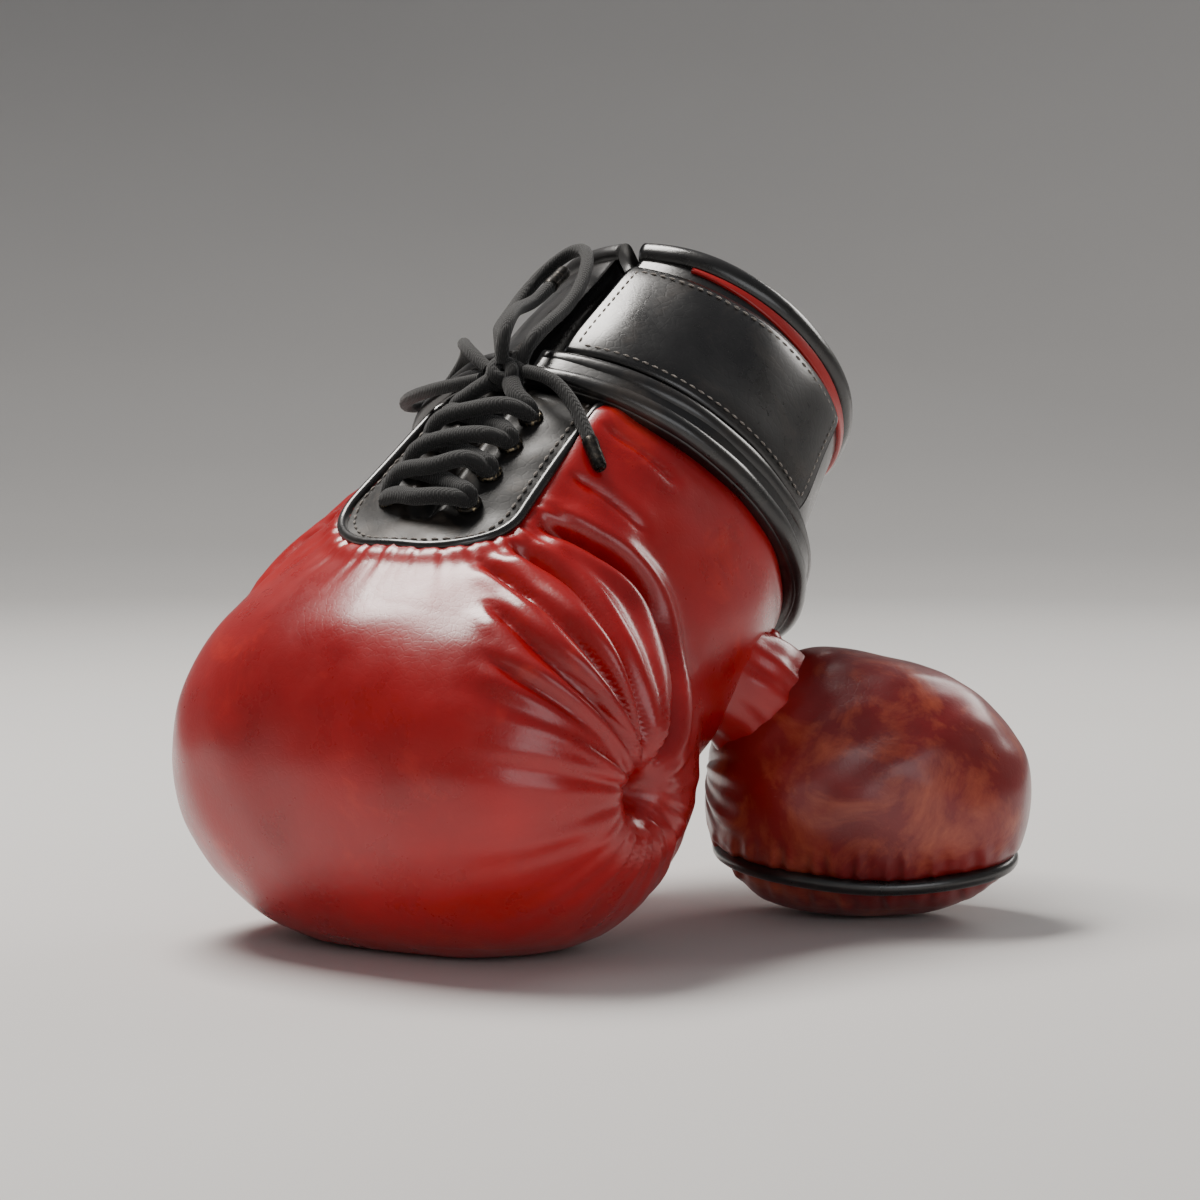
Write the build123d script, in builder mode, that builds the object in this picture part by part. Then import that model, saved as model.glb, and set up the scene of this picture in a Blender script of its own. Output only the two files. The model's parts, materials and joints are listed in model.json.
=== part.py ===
from build123d import *
import os
from math import cos, sin, radians, tan

# Boxing glove for the left hand, lying knuckles down with its palm side up.
# Row frame, millimetres: +X runs along the knuckle roll to the thumb side, +Y heads from the
# knuckles to the wrist, +Z is up. The origin is the centre of the flat foot under the fist.
# Hand frame: x is the row's X, s runs along the hand from the fist's centre to the wrist, and
# n points to the palm side, at right angles to both. Angles about the hand axis are in degrees,
# from the palm side towards the thumb side.

# ---- driving dimensions ----
HAND_TILT = 38            # slope of the hand axis above the floor, degrees
FIST_HEIGHT = 60          # fist centre above the floor
FIST_HALF_WIDTH = 85      # knuckle roll, half its length along X
FIST_RADIUS = 64          # knuckle roll, largest radius
ROLL_END = 4              # radius of the small flat disc at each end of a padded roll
BARREL_RADIUS = 65        # padded wrist section
BARREL_TAPER = 7          # smaller radius where the barrel leaves the fist's centre
BARREL_FULL = 38          # where the barrel reaches its full radius, along s
BARREL_END = 108          # where the red leather meets the cuff, along s
CUFF_END = 188            # end of the cuff leather, along s
CUFF_START_RADIUS = 62
CUFF_END_RADIUS = 56
RIM_END = 194             # far face of the rim binding
RIM_PROUD = 2.6
LEATHER = 2
LINING = 1.5
FOAM_SPLIT = 18           # depth of the joint between the two knuckle foam layers
PAD_START = 42            # where knuckle foam ends and wrist padding starts, along s
HAND_BORE_RADIUS = 44     # room for a wrapped hand
HAND_BORE_START = 30
FINGER_POCKET_RADIUS = 38
FINGER_POCKET_START = -10
GRIP_RADIUS = 12          # foam grip bar across the finger pocket
GRIP_PLACE = (30, 8)      # its centre: n, s
PALM_SEAM = 32            # where the palm leather is sewn to the back leather, along s

PANEL_HALF_WIDTH = 30     # U-shaped lace panel
PANEL_START = 40
PANEL_CORNER = 20
LACE_GAP = 12             # slit between the two lace edges
LACE_GAP_START = 52
LACE_RADIUS = 2
EYELET_OFFSET = 15        # distance of the eyelets from the slit's middle line
EYELET_BORE = 2.2
EYELET_NECK = 3.2
EYELET_FLANGE = 4.4
EYELET_ROWS = [58, 70, 82, 94]
CROSS_LOW = 68.2          # height of the lower strand of each crossing
CROSS_HIGH = 72.8
STRAND_END = 66.6         # height of a strand over its eyelet
STRAND_SHIFT = 2.3        # two strands lie side by side over each eyelet
TONGUE_ARC = (-24, 24)
TONGUE_THICKNESS = 5
KNOT_CENTRE = (0, 69.8, 103)
KNOT_SIZE = (14, 9, 6)

BAND_END = 121            # binding over the joint of red leather and cuff
BAND_PROUD = 1.6
RIDGE_RADIUS = 2.4
RIDGES = [111.5, 118]
TRIM_START = 181
TRIM_END = 187.5
TRIM_THICKNESS = 1.2
TRIM_ARC = (25, 140)

STRAP_ARC = (8, 100)      # free end and sewn edge
STRAP_START = 127
STRAP_END = 175
STRAP_THICKNESS = 2.2
PATCH_THICKNESS = 0.9
PATCH_ARC = (12, 42)
PATCH_START = 135
PATCH_END = 167
BODY_GAP = 0.4            # between pieces of different bodies

THUMB_ROOT_ANGLE = 125
THUMB_ROOT_S = 80
THUMB_ROOT_RADIUS = 6     # rolled leather fold that the thumb swings on
THUMB_ROOT_HALF = 18
THUMB_NECK_RADIUS = 22
THUMB_NECK_PLACE = (76, -74)
THUMB_START = (50, 106, 45)
THUMB_DIRECTION = (0.921, 0.370, -0.120)
THUMB_MIDDLE = 40         # from THUMB_START to the egg's middle
THUMB_HALF_LENGTH = 54
THUMB_RADIUS = 41.5
THUMB_SEAM_HEIGHT = 24    # seam between the upper and lower thumb leather
THUMB_POCKET = (52, 26, 3)  # empty thumb pocket lying flat: length, width, thickness
POCKET_RISE = 3
PIPING_WIDTH = 4
PIPING_PROUD = 1.5
WEB_LENGTH = 9

CORD_RADIUS = 2.25        # free lace: bow loops and ends
AGLET_RADIUS = 2.5
AGLET_LENGTH = 12
ARC_SHARE = 0.45          # share of the shorter run that each cord arc takes
TURN_START = 203          # where full turns about the hand axis start, clear of every cut

tilt = radians(HAND_TILT)
fist_centre = Vector(0, 0, FIST_HEIGHT)
thumb_side = Vector(1, 0, 0)
palm_side = Vector(0, -sin(tilt), cos(tilt))
wrist_side = Vector(0, cos(tilt), sin(tilt))
hand_axis = Axis(fist_centre, wrist_side)
palm_plane = Plane(origin=fist_centre, x_dir=thumb_side, z_dir=palm_side)
os.makedirs("parts", exist_ok=True)


def hand(x, n, s):
    """Row-frame point for hand-frame coordinates."""
    return fist_centre + thumb_side * x + palm_side * n + wrist_side * s


def radial(angle):
    """Direction at right angles to the hand axis."""
    return palm_side * cos(radians(angle)) + thumb_side * sin(radians(angle))


def around(angle, radius, s):
    """Row-frame point at an angle and radius about the hand axis."""
    return fist_centre + radial(angle) * radius + wrist_side * s


def profile_plane(angle=TURN_START):
    """Plane through the hand axis: local x is the radius, local y runs along the hand."""
    return Plane(origin=fist_centre, x_dir=radial(angle), z_dir=radial(angle).cross(wrist_side))


def cuff_radius(s):
    """Outer radius of the cuff leather."""
    share = (s - BARREL_END) / (CUFF_END - BARREL_END)
    return CUFF_START_RADIUS + share * (CUFF_END_RADIUS - CUFF_START_RADIUS)


def save(piece, name):
    """Label a finished piece and write it."""
    piece.part.label = name
    export_step(piece.part, f"parts/{name}.step")


# ---- forms: outlines that the layers are cut from ----
def padded_form(inset):
    """Fist roll and barrel, with every surface moved inwards by inset."""
    barrel = BARREL_RADIUS - inset
    with BuildPart() as form:
        with BuildSketch(Plane(origin=fist_centre, x_dir=thumb_side, z_dir=(0, -1, 0))) as outline:
            Rectangle(2 * (FIST_HALF_WIDTH - inset), FIST_RADIUS - inset, align=(Align.CENTER, Align.MIN))
            fillet(outline.vertices().sort_by(Axis.Y)[-2:], radius=FIST_RADIUS - inset - ROLL_END)
        revolve(axis=Axis(fist_centre, thumb_side))
        with BuildSketch(profile_plane()):
            with BuildLine():
                Polyline((0, 0), (barrel - BARREL_TAPER, 0), (barrel, BARREL_FULL),
                         (barrel, BARREL_END), (0, BARREL_END), close=True)
            make_face()
        revolve(axis=hand_axis)
        split(bisect_by=Plane.XY.offset(inset), keep=Keep.TOP)
    return form.part


def ring(inner, outer, start, end, arc=(TURN_START, TURN_START + 360)):
    """Ring about the hand axis, or an arc of one. inner and outer are (start, end) radii."""
    with BuildPart() as turned:
        with BuildSketch(profile_plane(arc[0])):
            with BuildLine():
                Polyline((inner[0], start), (outer[0], start), (outer[1], end), (inner[1], end), close=True)
            make_face()
        revolve(axis=hand_axis, revolution_arc=arc[1] - arc[0])
    return turned.part


def cuff_layer(depth, thickness, start, end, arc=(TURN_START, TURN_START + 360)):
    """Layer that follows the cuff's cone: depth is from the cuff leather's surface outwards."""
    inner = (cuff_radius(start) + depth, cuff_radius(end) + depth)
    outer = (inner[0] + thickness, inner[1] + thickness)
    return ring(inner, outer, start, end, arc)


def palm_block(half_width, start, end, low, high, corner=0):
    """Block between two heights on the palm side, with its knuckle-end corners rounded."""
    with BuildPart() as block:
        with BuildSketch(palm_plane.offset(low)) as outline:
            with Locations((0, (start + end) / 2)):
                Rectangle(2 * half_width, end - start)
            if corner:
                fillet(outline.vertices().sort_by(Axis.Y)[:2], radius=corner)
        extrude(amount=high - low)
    return block.part


def tube(points, radius, arcs=None):
    """Round tube along straight runs that tangent arcs join."""
    if arcs is None:
        arcs = corner_radii(points)
    with BuildPart() as swept:
        with BuildLine() as path:
            FilletPolyline(*points, radius=arcs)
        with BuildSketch(Plane(origin=path.line @ 0, z_dir=path.line % 0)):
            Circle(radius)
        sweep(transition=Transition.ROUND)
    return swept.part, sum(edge.length for edge in path.line.edges())


def corner_radii(points):
    """The largest arc that each corner's two runs allow."""
    radii = []
    for before, corner, after in zip(points, points[1:], points[2:]):
        turn = radians((corner - before).get_angle(after - corner))
        shorter = min((corner - before).length, (after - corner).length)
        radii.append(ARC_SHARE * shorter / tan(turn / 2))
    return radii


outer_form = padded_form(0)
leather_form = padded_form(LEATHER)
foam_form = padded_form(FOAM_SPLIT)
reach = 2 * FIST_HALF_WIDTH
palm_zone = palm_block(reach, PALM_SEAM, BARREL_END, 0, reach)
panel_zone = palm_block(PANEL_HALF_WIDTH, PANEL_START, BARREL_END, HAND_BORE_START, reach, PANEL_CORNER)
gap_zone = palm_block(LACE_GAP / 2, LACE_GAP_START, 2 * RIM_END, HAND_BORE_START, reach)
knuckle_zone = palm_block(reach, -reach, PAD_START, -reach, reach)
wrist_zone = palm_block(reach, PAD_START, BARREL_END, -reach, reach)
tongue_zone = ring((HAND_BORE_RADIUS + LINING,) * 2, (HAND_BORE_RADIUS + LINING + TONGUE_THICKNESS,) * 2,
                   LACE_GAP_START - 6, CUFF_END, TONGUE_ARC)

pocket_outer = FINGER_POCKET_RADIUS + LINING
bore_outer = HAND_BORE_RADIUS + LINING
with BuildPart() as hand_space:
    with BuildSketch(profile_plane()):
        with BuildLine():
            Polyline((0, FINGER_POCKET_START - LINING), (pocket_outer, FINGER_POCKET_START - LINING),
                     (pocket_outer, HAND_BORE_START - LINING), (bore_outer, HAND_BORE_START - LINING),
                     (bore_outer, RIM_END), (0, RIM_END), close=True)
        make_face()
    revolve(axis=hand_axis)

# ---- red leather ----
with BuildPart() as back_leather:
    add(outer_form)
    add(leather_form, mode=Mode.SUBTRACT)
    add(palm_zone, mode=Mode.SUBTRACT)
save(back_leather, "back_leather")

with BuildPart() as palm_leather:
    add(outer_form)
    add(leather_form, mode=Mode.SUBTRACT)
    add(palm_zone, mode=Mode.INTERSECT)
    add(panel_zone, mode=Mode.SUBTRACT)
save(palm_leather, "palm_leather")

# ---- padding ----
with BuildPart() as knuckle_foam_outer:
    add(leather_form)
    add(foam_form, mode=Mode.SUBTRACT)
    add(hand_space.part, mode=Mode.SUBTRACT)
    add(knuckle_zone, mode=Mode.INTERSECT)
save(knuckle_foam_outer, "knuckle_foam_outer")

with BuildPart() as knuckle_foam_inner:
    add(foam_form)
    add(hand_space.part, mode=Mode.SUBTRACT)
    add(knuckle_zone, mode=Mode.INTERSECT)
save(knuckle_foam_inner, "knuckle_foam_inner")

with BuildPart() as wrist_padding:
    add(leather_form)
    add(hand_space.part, mode=Mode.SUBTRACT)
    add(wrist_zone, mode=Mode.INTERSECT)
    add(palm_block(reach, PAD_START, BARREL_END, 0, reach), mode=Mode.SUBTRACT)
save(wrist_padding, "wrist_padding")

with BuildPart() as palm_padding:
    add(leather_form)
    add(hand_space.part, mode=Mode.SUBTRACT)
    add(palm_block(reach, PAD_START, BARREL_END, 0, reach), mode=Mode.INTERSECT)
    add(gap_zone, mode=Mode.SUBTRACT)
    add(tongue_zone, mode=Mode.SUBTRACT)
save(palm_padding, "palm_padding")

# ---- lining ----
with BuildPart() as finger_lining:
    with BuildSketch(profile_plane()):
        with BuildLine():
            Polyline((0, FINGER_POCKET_START - LINING), (pocket_outer, FINGER_POCKET_START - LINING),
                     (pocket_outer, HAND_BORE_START - LINING), (bore_outer, HAND_BORE_START - LINING),
                     (bore_outer, HAND_BORE_START), (FINGER_POCKET_RADIUS, HAND_BORE_START),
                     (FINGER_POCKET_RADIUS, FINGER_POCKET_START), (0, FINGER_POCKET_START), close=True)
        make_face()
    revolve(axis=hand_axis)
save(finger_lining, "finger_lining")

with BuildPart() as hand_lining:
    add(ring((HAND_BORE_RADIUS,) * 2, (bore_outer,) * 2, HAND_BORE_START, BARREL_END))
    add(gap_zone, mode=Mode.SUBTRACT)
save(hand_lining, "hand_lining")

with BuildPart() as grip_bar:
    with BuildSketch(Plane.YZ) as grip_section:
        with Locations((hand(0, *GRIP_PLACE).Y, hand(0, *GRIP_PLACE).Z)):
            Circle(GRIP_RADIUS)
    extrude(amount=FINGER_POCKET_RADIUS, both=True)
    add(ring((0, 0), (FINGER_POCKET_RADIUS,) * 2, FINGER_POCKET_START, HAND_BORE_START), mode=Mode.INTERSECT)
save(grip_bar, "grip_bar")

# ---- lace panel, tongue and eyelets ----
eyelet_angle = 13.34      # the angle whose chord is EYELET_OFFSET on the barrel
eyelet_planes = [Plane(origin=around(side * eyelet_angle, BARREL_RADIUS, s), z_dir=radial(side * eyelet_angle))
                 for side in (-1, 1) for s in EYELET_ROWS]

with BuildPart() as lace_panel:
    add(outer_form)
    add(leather_form, mode=Mode.SUBTRACT)
    add(panel_zone, mode=Mode.INTERSECT)
    add(gap_zone, mode=Mode.SUBTRACT)
    for plane in eyelet_planes:
        with BuildSketch(plane):
            Circle(EYELET_NECK)
        extrude(amount=2 * LEATHER, both=True, mode=Mode.SUBTRACT)
save(lace_panel, "lace_panel")

with BuildPart() as tongue:
    add(tongue_zone)
save(tongue, "tongue")

with BuildPart() as eyelets:
    for plane in eyelet_planes:
        with BuildSketch(plane.offset(0.05)):
            Circle(EYELET_FLANGE)
        extrude(amount=0.8)
        with BuildSketch(plane.offset(0.05)):
            Circle(EYELET_NECK - 0.02)
        extrude(amount=-LEATHER)
        with BuildSketch(plane.offset(-LEATHER)):
            Circle(EYELET_BORE)
        extrude(amount=2 * LEATHER, mode=Mode.SUBTRACT)
save(eyelets, "eyelets")

# ---- laces held in the eyelets ----
first_row = EYELET_ROWS[0] - STRAND_SHIFT
strands = [[hand(EYELET_OFFSET, STRAND_END, first_row), hand(0, CROSS_LOW, first_row - 1),
            hand(-EYELET_OFFSET, STRAND_END, first_row)]]
for lower, upper in zip(EYELET_ROWS, EYELET_ROWS[1:]):
    for side, height in ((1, CROSS_LOW), (-1, CROSS_HIGH)):
        strands.append([hand(side * EYELET_OFFSET, STRAND_END, lower + STRAND_SHIFT),
                        hand(0, height, (lower + upper) / 2),
                        hand(-side * EYELET_OFFSET, STRAND_END, upper - STRAND_SHIFT)])
strand_tubes = [tube(strand, LACE_RADIUS)[0] for strand in strands]

with BuildPart() as lace_crossings:
    for strand_tube in strand_tubes:
        add(strand_tube)
save(lace_crossings, "lace_crossings")

with BuildPart() as lace_knot:
    with BuildSketch(palm_plane.offset(KNOT_CENTRE[1] - KNOT_SIZE[2] / 2)):
        with Locations((KNOT_CENTRE[0], KNOT_CENTRE[2])):
            RectangleRounded(KNOT_SIZE[0], KNOT_SIZE[1], 3)
    extrude(amount=KNOT_SIZE[2])
    fillet(lace_knot.edges().filter_by(GeomType.CIRCLE), radius=1)
save(lace_knot, "lace_knot")

# ---- free lace: two bow loops and two ends, as (angle, radius, s) about the hand axis ----
routes = {
    "lace_loop_large": [(2.8, 70.3, 108.4), (4, 74.8, 115), (3.5, 72, 127), (2, 68, 140), (0, 66, 154),
                        (-4, 65.5, 168), (-10, 65, 179), (-19, 64.5, 183), (-27, 65, 176), (-29, 65.5, 163),
                        (-26, 66, 150), (-20, 68, 137), (-12, 72, 126), (-6, 74.8, 117), (-3.2, 70.3, 108.4)],
    "lace_loop_small": [(-6.2, 70.5, 105.3), (-13, 74.4, 111), (-20, 74.8, 119), (-29, 71, 129), (-38, 68, 137),
                        (-47, 67, 140), (-55, 68, 134), (-57, 72, 125), (-52, 75, 116), (-42, 74.5, 108),
                        (-29, 72.5, 102), (-17, 71.5, 99), (-6.2, 70.5, 100.3)],
    "lace_end_up": [(0, 73.6, 104), (0, 79, 108), (-1, 81, 117), (-5, 77.5, 128), (-9, 72, 138), (-12, 67.5, 148),
                    (-13, 66, 158)],
    "lace_end_side": [(6.2, 70.5, 104.5), (13, 71.8, 103), (20, 70.6, 99), (27, 69.4, 92.5), (33, 69, 85)],
}
aglet_ends = []
for name, route in routes.items():
    points = [around(*place) for place in route]
    solid, length = tube(points, CORD_RADIUS)
    print(name, "length", round(length, 1), "radii", [round(r, 1) for r in corner_radii(points)])
    if "end" in name:
        aglet_ends.append((points[-1], (points[-1] - points[-2]).normalized()))
    solid.label = name
    export_step(solid, f"parts/{name}.step")

with BuildPart() as aglets:
    for tip, heading in aglet_ends:
        with BuildSketch(Plane(origin=tip, z_dir=heading)):
            Circle(AGLET_RADIUS)
        extrude(amount=AGLET_LENGTH)
save(aglets, "aglets")

# ---- cuff ----
with BuildPart() as cuff_leather:
    add(cuff_layer(-LEATHER, LEATHER, BARREL_END, CUFF_END))
    add(gap_zone, mode=Mode.SUBTRACT)
save(cuff_leather, "cuff_leather")

with BuildPart() as cuff_foam:
    add(ring((bore_outer,) * 2, (CUFF_START_RADIUS - LEATHER, CUFF_END_RADIUS - LEATHER), BARREL_END, CUFF_END))
    add(gap_zone, mode=Mode.SUBTRACT)
    add(tongue_zone, mode=Mode.SUBTRACT)
save(cuff_foam, "cuff_foam")

with BuildPart() as cuff_lining:
    add(ring((HAND_BORE_RADIUS,) * 2, (bore_outer,) * 2, BARREL_END, CUFF_END))
    add(gap_zone, mode=Mode.SUBTRACT)
save(cuff_lining, "cuff_lining")

with BuildPart() as rim_binding:
    add(ring((HAND_BORE_RADIUS,) * 2, (CUFF_END_RADIUS + RIM_PROUD,) * 2, CUFF_END, RIM_END))
    fillet(rim_binding.edges().filter_by(GeomType.CIRCLE).group_by(SortBy.RADIUS)[-1], radius=RIM_PROUD)
    add(gap_zone, mode=Mode.SUBTRACT)
save(rim_binding, "rim_binding")

with BuildPart() as red_trim:
    add(cuff_layer(0, TRIM_THICKNESS, TRIM_START, TRIM_END, TRIM_ARC))
save(red_trim, "red_trim")

band_outer = (BARREL_RADIUS + BAND_PROUD, cuff_radius(BAND_END) + 2 * BAND_PROUD)
with BuildPart() as cuff_band:
    add(ring((CUFF_START_RADIUS, cuff_radius(BAND_END)), band_outer, BARREL_END, BAND_END))
    add(gap_zone, mode=Mode.SUBTRACT)
save(cuff_band, "cuff_band")

with BuildPart() as cuff_piping:
    with BuildSketch(profile_plane()):
        for place in RIDGES:
            share = (place - BARREL_END) / (BAND_END - BARREL_END)
            seat = band_outer[0] + share * (band_outer[1] - band_outer[0])
            with Locations((seat + RIDGE_RADIUS / 2, place)):
                Circle(RIDGE_RADIUS)
        with BuildLine():
            Polyline((BARREL_TAPER, BARREL_END), (band_outer[0], BARREL_END), (band_outer[1], BAND_END),
                     (BARREL_TAPER, BAND_END), close=True)
        make_face(mode=Mode.SUBTRACT)
    revolve(axis=hand_axis)
    add(gap_zone, mode=Mode.SUBTRACT)
save(cuff_piping, "cuff_piping")

with BuildPart() as strap_loop_patch:
    add(cuff_layer(0, PATCH_THICKNESS, PATCH_START, PATCH_END, PATCH_ARC))
save(strap_loop_patch, "strap_loop_patch")

# ---- wrist strap, sewn to the cuff along one edge ----
hook_depth = PATCH_THICKNESS + BODY_GAP
with BuildPart() as strap_hook_patch:
    add(cuff_layer(hook_depth, PATCH_THICKNESS, PATCH_START, PATCH_END, PATCH_ARC))
save(strap_hook_patch, "strap_hook_patch")

strap_depth = hook_depth + PATCH_THICKNESS
with BuildPart() as wrist_strap:
    add(cuff_layer(strap_depth, STRAP_THICKNESS, STRAP_START, STRAP_END, STRAP_ARC))
save(wrist_strap, "wrist_strap")

# ---- thumb ----
thumb_direction = Vector(*THUMB_DIRECTION).normalized()
thumb_middle = Vector(*THUMB_START) + thumb_direction * THUMB_MIDDLE
thumb_across = thumb_direction.cross(Vector(0, 0, 1)).normalized()


def thumb_form(inset):
    """Egg of the thumb, flat where it rests on the floor, moved inwards by inset."""
    with BuildPart() as egg:
        with BuildSketch(Plane(origin=thumb_middle, x_dir=thumb_direction, z_dir=thumb_across)) as outline:
            Rectangle(2 * (THUMB_HALF_LENGTH - inset), THUMB_RADIUS - inset, align=(Align.CENTER, Align.MIN))
            fillet(outline.vertices().sort_by(Axis.Y)[-2:], radius=THUMB_RADIUS - inset - ROLL_END)
        revolve(axis=Axis(thumb_middle, thumb_direction))
        split(bisect_by=Plane.XY.offset(max(inset, 0)), keep=Keep.TOP)
    return egg.part


thumb_outer = thumb_form(0)
thumb_inner = thumb_form(LEATHER)
with BuildPart() as thumb_upper_leather:
    add(thumb_outer)
    add(thumb_inner, mode=Mode.SUBTRACT)
    split(bisect_by=Plane.XY.offset(THUMB_SEAM_HEIGHT), keep=Keep.TOP)
save(thumb_upper_leather, "thumb_upper_leather")

with BuildPart() as thumb_lower_leather:
    add(thumb_outer)
    add(thumb_inner, mode=Mode.SUBTRACT)
    split(bisect_by=Plane.XY.offset(THUMB_SEAM_HEIGHT), keep=Keep.BOTTOM)
save(thumb_lower_leather, "thumb_lower_leather")

with BuildPart() as thumb_lining:
    pocket_up = thumb_across.cross(thumb_direction)
    with BuildSketch(Plane(origin=thumb_middle, x_dir=thumb_direction, z_dir=pocket_up).offset(POCKET_RISE)):
        SlotOverall(THUMB_POCKET[0], THUMB_POCKET[1])
    extrude(amount=THUMB_POCKET[2] / 2, both=True)
save(thumb_lining, "thumb_lining")

with BuildPart() as thumb_foam:
    add(thumb_inner)
    add(thumb_lining.part, mode=Mode.SUBTRACT)
save(thumb_foam, "thumb_foam")

root_radius = BARREL_RADIUS + THUMB_ROOT_RADIUS + BODY_GAP
root_centre = around(THUMB_ROOT_ANGLE, root_radius, THUMB_ROOT_S)
root_plane = Plane(origin=hand(0, 0, THUMB_ROOT_S), x_dir=thumb_side, z_dir=wrist_side)
root_x = root_radius * sin(radians(THUMB_ROOT_ANGLE))
root_n = root_radius * cos(radians(THUMB_ROOT_ANGLE))
with BuildPart() as thumb_root:
    with BuildSketch(root_plane):
        with Locations((root_x, -root_n)):
            Circle(THUMB_ROOT_RADIUS)
        with Locations((THUMB_NECK_PLACE[0], -THUMB_NECK_PLACE[1])):
            Circle(THUMB_NECK_RADIUS)
        make_hull()
    extrude(amount=THUMB_ROOT_HALF, both=True)
    add(thumb_outer, mode=Mode.SUBTRACT)
save(thumb_root, "thumb_root")
print("thumb hinge", root_centre, "strap hinge",
      around(STRAP_ARC[1], cuff_radius((STRAP_START + STRAP_END) / 2) + strap_depth + STRAP_THICKNESS / 2, 151))

with BuildPart() as thumb_piping:
    add(thumb_form(-PIPING_PROUD))
    split(bisect_by=Plane.XY.offset(THUMB_SEAM_HEIGHT + PIPING_WIDTH / 2), keep=Keep.BOTTOM)
    split(bisect_by=Plane.XY.offset(THUMB_SEAM_HEIGHT - PIPING_WIDTH / 2), keep=Keep.TOP)
    add(thumb_outer, mode=Mode.SUBTRACT)
    add(thumb_root.part, mode=Mode.SUBTRACT)
save(thumb_piping, "thumb_piping")

with BuildPart() as thumb_web:
    with BuildSketch(root_plane.offset(THUMB_ROOT_HALF + BODY_GAP)):
        with Locations((root_x, -root_n)):
            Circle(THUMB_ROOT_RADIUS + 1)
    extrude(amount=WEB_LENGTH)
    add(outer_form, mode=Mode.SUBTRACT)
save(thumb_web, "thumb_web")
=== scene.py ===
import json
import math

import bmesh
import bpy
import numpy as np
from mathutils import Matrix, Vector


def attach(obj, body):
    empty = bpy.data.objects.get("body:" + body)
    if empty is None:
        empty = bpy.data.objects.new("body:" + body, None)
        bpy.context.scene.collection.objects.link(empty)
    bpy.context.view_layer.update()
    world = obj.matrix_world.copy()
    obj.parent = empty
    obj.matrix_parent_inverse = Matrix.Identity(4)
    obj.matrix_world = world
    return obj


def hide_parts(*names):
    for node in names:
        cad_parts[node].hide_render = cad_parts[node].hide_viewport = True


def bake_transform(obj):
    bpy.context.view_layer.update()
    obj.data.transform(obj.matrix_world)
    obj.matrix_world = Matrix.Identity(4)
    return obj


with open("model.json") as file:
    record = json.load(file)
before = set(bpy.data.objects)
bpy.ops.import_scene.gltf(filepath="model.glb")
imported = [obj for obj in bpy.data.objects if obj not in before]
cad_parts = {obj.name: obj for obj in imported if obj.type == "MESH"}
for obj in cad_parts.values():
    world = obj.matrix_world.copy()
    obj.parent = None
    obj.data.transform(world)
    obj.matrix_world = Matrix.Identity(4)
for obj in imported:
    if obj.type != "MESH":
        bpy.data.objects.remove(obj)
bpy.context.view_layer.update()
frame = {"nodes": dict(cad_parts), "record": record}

# A lace-up boxing glove resting on its knuckle roll and thumb, palm side up.
# Hand frame, millimetres: x runs to the thumb side, n to the palm side, s from the fist to the wrist.
# Angles about the hand axis are in degrees, from the palm side towards the thumb side.

MM = 0.001
mounts = {m["name"]: m for m in frame["record"]["mounts"]}
joints = {j["name"]: j for j in frame["record"]["behaviour"]["joints"]}
ALONG = np.array(mounts["hand_opening"]["axis"])
PALM = np.array([0, -ALONG[2], ALONG[1]])
ACROSS = np.array([1.0, 0, 0])
bore_point = np.array(mounts["hand_opening"]["pos_m"]) / MM
FIST = bore_point - ALONG * (bore_point[1] / ALONG[1])
BARREL_END = 108
BAND_START = 107
CUFF_END = 188
WAVE_COUNT = 9


# ---------------- geometry helpers
def hand(x, n, s):
    """Row-frame points in millimetres from hand-frame coordinates."""
    x, n, s = (np.asarray(v, float)[..., None] for v in (x, n, s))
    return FIST + ACROSS * x + PALM * n + ALONG * s


def around(angle, radius, s):
    """Row-frame points from an angle in degrees, a radius and a place along the hand axis."""
    turn = np.radians(angle)
    return hand(radius * np.sin(turn), radius * np.cos(turn), s)


def cuff_around(angle, radius, s):
    """The same, for pieces of the cuff, which lean and swell."""
    fuller = swell(angle, s) * np.clip((radius - 50) / 8, 0, 1)
    return around(angle, radius + fuller, s + lean(angle, s))


def hand_coordinates(points):
    """x, n and s of row-frame points."""
    local = points - FIST
    return local @ ACROSS, local @ PALM, local @ ALONG


def full_turn(count):
    """Evenly spaced angles once round, in radians."""
    return np.linspace(0, 2 * math.pi, count, endpoint=False)


def outwards(angle):
    """Unit vectors away from the hand axis, for an array of angles in radians."""
    return PALM * np.cos(angle)[..., None] + ACROSS * np.sin(angle)[..., None]


def make_mesh(name, points, faces):
    """Smooth-shaded mesh object from points in millimetres."""
    mesh = bpy.data.meshes.new(name)
    mesh.from_pydata((np.asarray(points) * MM).tolist(), [], [list(map(int, f)) for f in faces])
    mesh.validate()
    mesh.polygons.foreach_set("use_smooth", [True] * len(mesh.polygons))
    piece = bpy.data.objects.new(name, mesh)
    bpy.context.collection.objects.link(piece)
    return piece


def grid_faces(rows, columns, wrap_rows=False, wrap_columns=False, first=0):
    """Quads between the points of a grid stored row by row."""
    row_count = rows if wrap_rows else rows - 1
    column_count = columns if wrap_columns else columns - 1
    i, j = np.meshgrid(np.arange(row_count), np.arange(column_count), indexing="ij")
    a = i * columns + j
    b = i * columns + (j + 1) % columns
    c = ((i + 1) % rows) * columns + (j + 1) % columns
    d = ((i + 1) % rows) * columns + j
    return (np.stack([a, b, c, d], -1).reshape(-1, 4) + first).tolist()


def end_caps(rows, columns):
    """Faces that close both ends of a tube stored row by row."""
    last = (rows - 1) * columns
    return [list(range(columns)), list(range(last, last + columns))[::-1]]


def hill(value, centre, width):
    """Bell curve that is 1 at the centre."""
    return np.exp(-((value - centre) / width) ** 2)


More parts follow.
